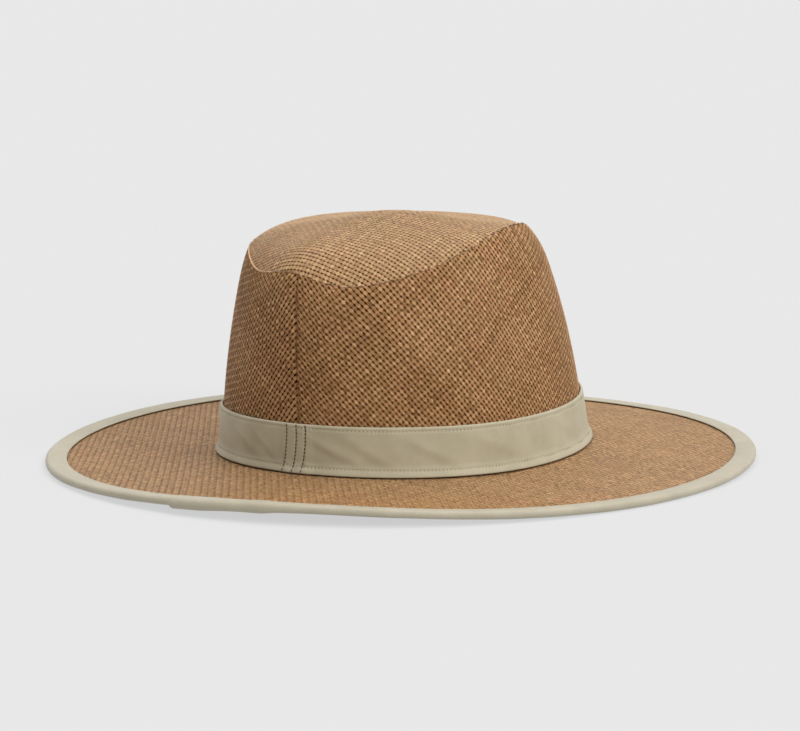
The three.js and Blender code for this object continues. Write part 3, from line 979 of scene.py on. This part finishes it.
def binding_section(turn):
    lap = binding_lap(turn)
    relief = binding_relief(turn)
    centre = brim_point(turn, np.ones_like(turn))[..., 2]

    def radius(angle):
        """The lap adds little on top, and more the further round and under the edge."""
        return ROLL_RADIUS + lap * (LAP_SIDE - LAP_TILT * np.sin(angle)) + relief * RELIEF_SHARE

    def roll(angle):
        r = radius(angle)
        return plan_point(RIM, turn, r * np.cos(angle), centre + r * np.sin(angle))

    def leg(side, rows, edge, rim):
        """A face on one side of the straw, whose height off it runs from edge to rim."""
        step = 1 - (1 - REACH_STEP) * rows
        return brim_point(turn, step, side * (edge + (rim - edge) * (1 - smooth(rows, *LEG_EASE))))

    upper = leg(1, BINDING_LEG[None, :], UPPER_EDGE + lap * UPPER_LAP, radius(BINDING_ARC[0]))
    lower = leg(-1, BINDING_LEG[None, ::-1], LOWER_EDGE + lap * LOWER_LAP, radius(BINDING_ARC[-1]))
    outer = roll(BINDING_ARC[None, :])
    inner_low = leg(-1, BINDING_INNER_ROWS[None, :], INNER_LOW, INNER_RIM)
    inner_high = leg(1, BINDING_INNER_ROWS[None, ::-1], INNER_HIGH, INNER_RIM)
    return np.concatenate([upper, outer, lower, inner_low, inner_high], 1)


def binding_uv(turn):
    size = 2 * len(BINDING_LEG) + len(BINDING_ARC) + 2 * len(BINDING_INNER_ROWS)
    across = np.linspace(0, SECTION_LENGTH, size)[None, :]
    return np.stack(np.broadcast_arrays(turn * RIM_SCALE * UV_UNIT, across), -1)


def even_turns(count, dense=()):
    """Turns spread evenly round the hat, with closer ones over each dense stretch: from, to, step."""
    turns = np.arange(count) * 360 / count
    for low, high, step in dense:
        t = turn_from(turns, 0)
        turns = turns[(t < low) | (t > high)]
        turns = np.concatenate([turns, np.arange(low, high, step) % 360])
    return np.sort(turns)


# A stitch's rings and sides, how far its ends are sunk, and how blunt they are
STITCH_RINGS, STITCH_SIDES, STITCH_SINK, STITCH_BLUNT = 5, 6, 0.16, 0.06


def stitches(name, places, length, radius, material):
    """Threads as small pods. places is (centre, direction, outward) for each."""
    rings, sides = STITCH_RINGS, STITCH_SIDES
    points, faces, uv = [], [], []
    along = np.linspace(-1, 1, rings)
    for centre, direction, outward in places:
        across = np.cross(direction, outward)
        start = len(points)
        for a in along:
            r = radius * math.sqrt(max(1 - a**4, STITCH_BLUNT))
            for s in range(sides):
                angle = 2 * math.pi * s / sides
                offset = across * math.cos(angle) + outward * math.sin(angle)
                sink = -STITCH_SINK * a * a
                points.append(centre + direction * a * length / 2 + offset * r + outward * sink)
                uv.append((s / sides, a))
        for ring_at in range(rings - 1):
            for s in range(sides):
                p = start + ring_at * sides + s
                q = start + ring_at * sides + (s + 1) % sides
                faces.append([p, q, q + sides, p + sides])
        faces.append([start + s for s in range(sides)][::-1])
        faces.append([start + (rings - 1) * sides + s for s in range(sides)])
    obj = make_piece(name, np.array(points), faces, material)
    set_uv(obj.data, "cloth", np.array(uv))
    return obj


# The turned edge: angles of its section, radius, and how much thicker it is where it is sharp
FOLD_ANGLES = np.radians(np.arange(0, 360, 36))
FOLD_RADIUS, SHARP_SWELL = 0.36, 0.06
# Its lumps (height, count, phase), and the share of them that a sharp edge loses
FOLD_LUMPS = ((0.06, 83, 0), (0.06, 131, 1.3), (0.048, 197, 2.1))
SHARP_SMOOTH = 0.8
# How far it lies within the seam and below it, how much less far where it is sharp, and its wander
FOLD_INSET, SHARP_OUT, FOLD_DROP = 0.62, 0.12, 0.62
FOLD_SIDEWAYS, FOLD_UP = ((0.2, 59, 0),), ((0.2, 97, 0.6),)
# Size of the fold's own coordinates, by degree round the hat and by angle of its section
FOLD_MAP = (0.9, 0.5)


def seam_fold_section(turn):
    """The tip's turned edge, a slender roll along the seam: sharp at the left back, flatter and lumpy
    elsewhere."""
    rib = seam_rib(turn)
    radius = FOLD_RADIUS + SHARP_SWELL * rib + sine_sum(turn, FOLD_LUMPS) * (1 - SHARP_SMOOTH * rib)
    outward = -FOLD_INSET + SHARP_OUT * rib + sine_sum(turn, FOLD_SIDEWAYS) * (1 - rib)
    centre = wall_point(turn, np.ones_like(turn), outward)
    centre[..., 2] += (-FOLD_DROP + sine_sum(turn, FOLD_UP)) * (1 - rib)
    out = unit(centre * LEVELLED)
    offset = np.cos(FOLD_ANGLES)[:, None] * out + np.sin(FOLD_ANGLES)[:, None] * UP
    return centre + offset * radius[..., None]


def seam_fold_uv(turn):
    around = np.arange(len(FOLD_ANGLES))[None, :] * FOLD_MAP[1]
    return np.stack(np.broadcast_arrays(turn * FOLD_MAP[0], around), -1)


# Stitches are sunk this far into the band's face
STITCH_DEPTH = 0.05


def band_surface(turn, h):
    """Where stitches lie on the band."""
    turn, h = np.broadcast_arrays(np.asarray(turn, float), np.asarray(h, float))
    lap = lap_at(turn, BAND_LAP, LAP_EASE)
    return band_point(turn, h, BAND_CLOTH + lap + band_relief(turn, h) - STITCH_DEPTH)


def stitch_places(turn, h, ahead_turn, ahead_h):
    """Centre, direction and outward of stitches on the band that point from (turn, h) to the place ahead."""
    here = band_surface(turn, h)
    direction = unit(band_surface(ahead_turn, ahead_h) - here)
    across = unit(np.cross(direction, here * LEVELLED))
    outward = unit(np.cross(across, direction))
    return list(zip(here, direction, outward))


def arc_turns(pitch, h):
    """Turns at which marks lie a pitch apart round the band at height h."""
    t = np.arange(0, 360, 0.25)
    p = band_point(t, h, BAND_CLOTH)
    length = np.concatenate([[0], np.cumsum(np.linalg.norm(np.diff(p, axis=0, append=p[:1]), axis=1))])
    count = round(length[-1] / pitch)
    return np.interp(np.arange(count) * length[-1] / count, length, np.append(t, 360))


# Pieces
# The tip's tones are paler than the wall's: partly its own straw, and partly painted light standing in for
# the stronger light from above and the pale sheen where the top is seen at a slant
STRAWS = {
    "crown_wall": Straw(
        tones=((144, 113, 83), (188, 152, 117), (225, 192, 159)), gap=(70, 32, 6),
        shine=0.1, drift=0.5, mottle=0.25, floats=0.5, lift=0.07, sheen=0.01,
    ),
    "crown_tip": Straw(
        tones=((166, 135, 101), (205, 174, 139), (234, 206, 173)), gap=(128, 88, 44),
        shine=0.3, drift=0.5, mottle=0.3, floats=0.5, lift=0.02, sheen=0.12,
    ),
    "brim": Straw(
        tones=((151, 120, 85), (193, 161, 123), (222, 192, 156)), gap=(178, 140, 100),
        shine=0.35, drift=0.8, mottle=0.6, floats=0.4, lift=0.1, sheen=0.05,
    ),
}
# Slots of painted shade, for the shaded gaps between strands, are drawn out along the strands of one family:
# their place across one of them and along it
LONG_SLOT = ((0.58, 0.71), (0.26, 0.46))
SHORT_SLOT = LONG_SLOT[::-1]
STRANDS = {
    "crown_wall_warp": Strands(*LONG_SLOT, side=0.7, turned=0.5, rib=0.03),
    "crown_wall_weft": Strands(*SHORT_SLOT, side=0.5, turned=0.7, rib=-0.03),
    "crown_tip_warp": Strands(*SHORT_SLOT, side=0.4, turned=0.45, rib=0.05),
    "crown_tip_weft": Strands(*LONG_SLOT, side=0.45, turned=0.4, rib=-0.05),
    "brim_warp": Strands(*LONG_SLOT, side=0.05, turned=0.0, rib=0.16),
    "brim_weft": Strands(*SHORT_SLOT, side=0.0, turned=0.05, rib=-0.16),
}
band_cloth = cloth_material("band_cotton", rgb(182, 174, 149), rgb(168, 160, 134), rough=0.62, threads=90.0)
ribbon = cloth_material("binding_ribbon", rgb(175, 167, 146), rgb(165, 157, 136), rough=0.5, threads=110.0)
pale_thread = thread_material("pale_thread", rgb(208, 200, 174), rgb(66, 56, 34))
dark_thread = thread_material("dark_thread", rgb(66, 54, 30), rgb(36, 28, 14))
# Its dark colour is painted shade of the crease along the tip's seam, and its light one is painted light
# where the edge stands up
fold_straw_and_crease_shade = fold_material("fold_straw_and_crease_shade", rgb(196, 158, 118), rgb(80, 48, 22))

for node, cloth, seed in (("crown_wall", Wall(), 11), ("crown_tip", Tip(), 23), ("brim", Brim(), 37)):
    for family, way in enumerate(("warp", "weft")):
        name = f"{node}_{way}"
        straw = straw_material(f"straw_{name}", STRAWS[node], STRANDS[name])
        weave(name, cloth, family, straw, seed)
        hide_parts(node)

fold_turns = even_turns(1400)
seam_fold = ring("crown_seam_fold", fold_turns, seam_fold_section, seam_fold_uv, fold_straw_and_crease_shade)
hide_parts("crown_tip")
# The rib share picks the fold's painted light, where it stands up, over its painted crease shade
set_value(seam_fold.data, "rib", np.repeat(seam_rib(fold_turns), len(FOLD_ANGLES)))
band_turns = even_turns(900, ((-9, 7, 0.2),))
hatband = ring("hatband_cloth", band_turns, band_section, band_uv, band_cloth)
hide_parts("hatband")
binding_turns = even_turns(720, ((-7, -4, 0.1), (8, 13, 0.1)))
binding = ring("binding_ribbon", binding_turns, binding_section, binding_uv, ribbon)
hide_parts("brim_binding")

# The first stitch of a row is turned on by this, and a stitch points to a place this far ahead
FIRST_STITCH, AHEAD_TURN, AHEAD_HEIGHT = 0.4, 0.3, 0.5
# Stitches in a join, and how far the first and last are from the band's edges
JOIN_STITCHES, JOIN_MARGIN = 13, 0.95

round_places = []
for h in (TOP_STITCH, HEM_STITCH):
    turns = arc_turns(STITCH, h) + FIRST_STITCH
    round_places += stitch_places(turns, h, turns + AHEAD_TURN, h)
round_stitches = stitches("hatband_topstitch", round_places, 1.5, 0.3, pale_thread)
join_places = []
heights = np.linspace(JOIN_MARGIN, BAND_HEIGHT - JOIN_MARGIN, JOIN_STITCHES)
ahead = heights + AHEAD_HEIGHT
for join in JOIN_TURNS:
    join_places += stitch_places(join_turn(join, heights), heights, join_turn(join, ahead), ahead)
join_stitches = stitches("hatband_join_stitch", join_places, 1.75, 0.42, dark_thread)

# Floor, light and camera
FLOOR_HALF = 30
# The floor glows faintly, so that shade on it stays pale, but not under the crown. The glow starts and is
# full at these shares of the rim's plan.
GLOW_START, GLOW_FULL = 0.5, 0.72

floor_mesh = bpy.data.meshes.new("floor")
floor_corners = [(x * FLOOR_HALF, y * FLOOR_HALF, 0) for x, y in ((-1, -1), (1, -1), (1, 1), (-1, 1))]
floor_mesh.from_pydata(floor_corners, [], [(0, 1, 2, 3)])
floor = add_object("floor", floor_mesh)
floor_look = Look("pale_floor")
squeeze = floor_look.add("VectorMath", operation="MULTIPLY")
floor_look.feed(squeeze.inputs[0], floor_look.place())
floor_look.feed(squeeze.inputs[1], (1 / (RIM[1] * MM), 1 / (RIM[0] * MM), 0))
reach = floor_look.add("VectorMath", operation="LENGTH")
floor_look.feed(reach.inputs[0], squeeze.outputs[0])
floor_mesh.materials.append(
    floor_look.shade(
        Base_Color=(0.160, 0.155, 0.145, 1),
        Roughness=1.0,
        Specular_IOR_Level=0.0,
        Emission_Color=(0.562, 0.570, 0.585, 1),
        Emission_Strength=floor_look.ease(reach.outputs["Value"], GLOW_START, GLOW_FULL),
    )
)

scene = bpy.context.scene
scene.view_settings.view_transform = "Standard"
world = bpy.data.worlds.new("studio")
scene.world = world
world.use_nodes = True
sky = world.node_tree.nodes["Background"].inputs
sky["Color"].default_value = (1, 1, 1, 1)
sky["Strength"].default_value = 0.62

# The camera's turn and height in radians, its distance in metres and the point that it looks at
VIEW_TURN, VIEW_HEIGHT = math.radians(209.68), 0.139
VIEW_DISTANCE, VIEW_CENTRE = 1.5, (0, 0, 0.06)
# Lamps: name, degrees to the right of the camera and above the floor, strength, size in degrees
LAMPS = (("top", 150, 80, 2.1, 70), ("key", 46, 33, 1.55, 25))


def direction_to(turn, height):
    """Direction from the hat to a lamp or the camera, from its turn and height in radians."""
    level = math.cos(height)
    return Vector((math.sin(turn) * level, -math.cos(turn) * level, math.sin(height)))


for name, right, elevation, strength, angle in LAMPS:
    lamp = bpy.data.lights.new(name, "SUN")
    lamp.energy = strength
    lamp.angle = math.radians(angle)
    holder = add_object(name, lamp)
    holder.rotation_mode = "QUATERNION"
    toward_lamp = direction_to(VIEW_TURN + math.radians(right), math.radians(elevation))
    holder.rotation_quaternion = toward_lamp.to_track_quat("Z", "Y")

camera_data = bpy.data.cameras.new("camera")
camera_data.lens = 133.72
camera_data.sensor_width = 36.0
camera_data.shift_x = -0.0030
camera_data.shift_y = -0.0351
camera_data.clip_end = 100
camera = add_object("camera", camera_data)
toward_camera = direction_to(VIEW_TURN, VIEW_HEIGHT)
camera.location = Vector(VIEW_CENTRE) + toward_camera * VIEW_DISTANCE
camera.rotation_mode = "QUATERNION"
camera.rotation_quaternion = (-toward_camera).to_track_quat("-Z", "Y")
scene.camera = camera
